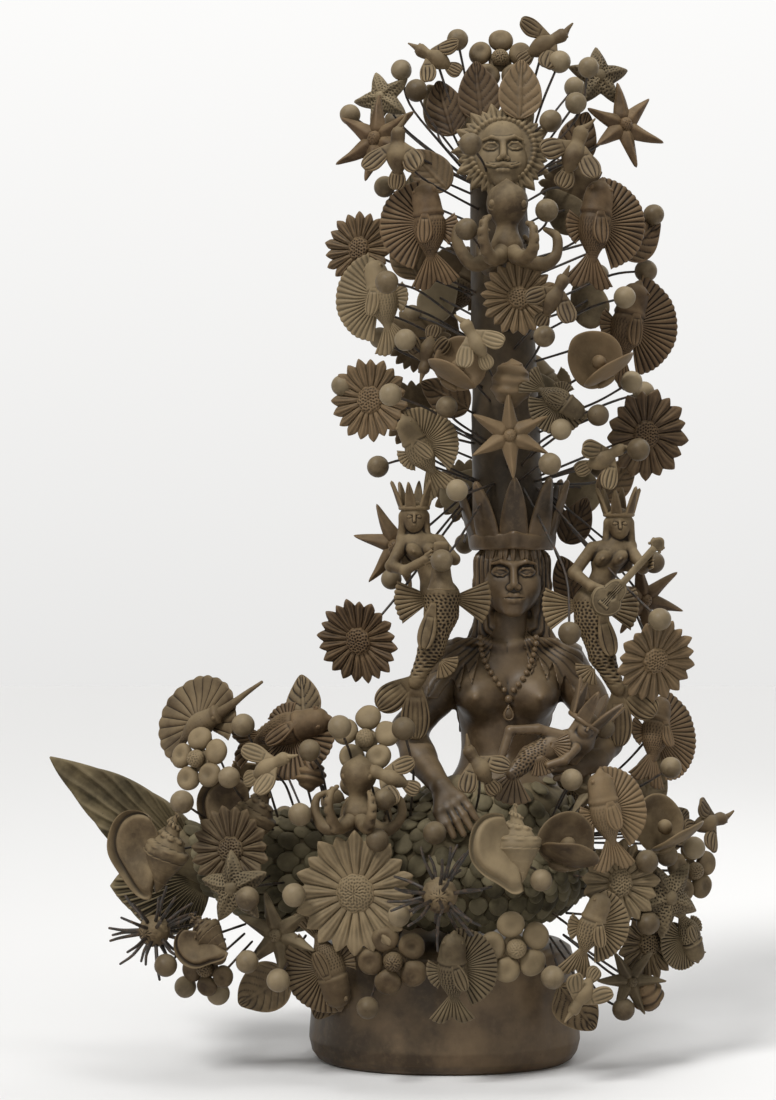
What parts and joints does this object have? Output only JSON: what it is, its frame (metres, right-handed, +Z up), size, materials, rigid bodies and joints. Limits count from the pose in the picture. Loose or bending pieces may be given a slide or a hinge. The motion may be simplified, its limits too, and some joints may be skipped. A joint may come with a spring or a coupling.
{
  "type": "clay tree of life",
  "caption": "Free-standing clay figure of a crowned siren on an oval foot, with a trunk rising from her crown and clay fish, birds, flowers and shells on wires all around.",
  "frame": {"origin": "middle of the oval foot's flat underside", "axes": "+Z up, the siren faces -Y, +X to the right as seen from the front"},
  "size_m": [0.6142, 0.3432, 0.9273],
  "materials": {
    "clay_figure": "burnished brown fired clay, satin on the raised parts",
    "clay_tail": "grey-green brown fired clay, dry",
    "clay_ornament": "grey-brown fired clay, dry and dusty",
    "stem_wire": "blackened iron wire"
  },
  "bodies": {
    "root": {"foot": "clay_figure", "tail": "clay_tail", "tail_scales": "clay_tail", "tail_fin": "clay_tail", "torso": "clay_figure", "right_arm": "clay_figure", "left_arm": "clay_figure", "head": "clay_figure", "hair": "clay_figure", "necklace": "clay_ornament", "crown": "clay_figure", "trunk": "clay_figure", "sun_face": "clay_ornament", "octopus_upper": "clay_ornament", "octopus_lower": "clay_ornament", "siren_horn": "clay_ornament", "horn": "clay_ornament", "siren_guitar": "clay_ornament", "guitar": "clay_ornament", "held_siren": "clay_ornament", "held_crown": "clay_figure", "hummingbird": "clay_ornament", "daisies_upper": "clay_ornament", "daisies_lower": "clay_ornament", "ball_flowers": "clay_ornament", "lilies_upper": "clay_ornament", "lilies_lower": "clay_ornament", "starfishes": "clay_ornament", "leaves_upper": "clay_ornament", "leaves_lower": "clay_ornament", "doves_upper": "clay_ornament", "doves_lower": "clay_ornament", "clams_upper": "clay_ornament", "clams_lower": "clay_ornament", "conches": "clay_ornament", "buds": "clay_ornament", "urchins": "clay_ornament", "fish_top_left": "clay_ornament", "fish_top_right": "clay_ornament", "fish_disc_left": "clay_ornament", "fish_disc_right": "clay_ornament", "fish_mid_left": "clay_ornament", "fish_mid_right": "clay_ornament", "fish_low_left": "clay_ornament", "fish_foot_left": "clay_ornament", "fish_foot_middle": "clay_ornament", "fish_lap_right": "clay_ornament", "fish_foot_right": "clay_ornament", "fish_disc_low": "clay_ornament", "fish_end_right": "clay_ornament", "berries_upper": "clay_ornament", "berries_lower": "clay_ornament", "back_daisies": "clay_ornament", "back_flowers": "clay_ornament", "back_leaves": "clay_ornament", "back_fish": "clay_ornament", "back_berries": "clay_ornament", "wires_upper": "stem_wire", "wires_lower": "stem_wire", "back_wires": "stem_wire"}
  },
  "joints": []
}
